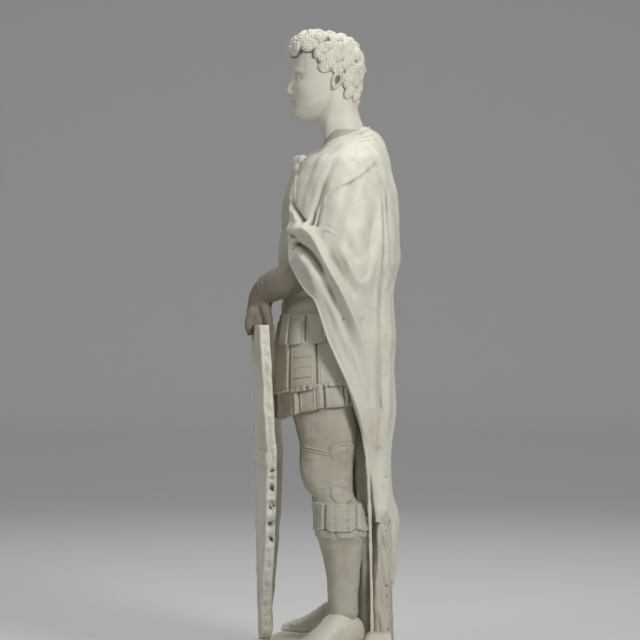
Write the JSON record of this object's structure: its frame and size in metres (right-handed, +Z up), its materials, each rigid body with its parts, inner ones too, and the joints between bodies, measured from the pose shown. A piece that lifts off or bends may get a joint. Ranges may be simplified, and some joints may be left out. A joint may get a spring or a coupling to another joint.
{
  "type": "marble statue",
  "caption": "Standing armoured saint in a long cloak, one hand on a tall pointed shield, carved with a low plinth from one block.",
  "frame": {"origin": "on the flat underside of the plinth, below the middle between the ankles", "axes": "+Z up along the figure's height, the figure looks along -Y, its left hand is at +X"},
  "size_m": [0.7, 0.5287, 2.0905],
  "materials": {
    "marble": "smooth carved marble with a warm tint"
  },
  "bodies": {
    "root": {"statue": "marble"}
  },
  "joints": []
}
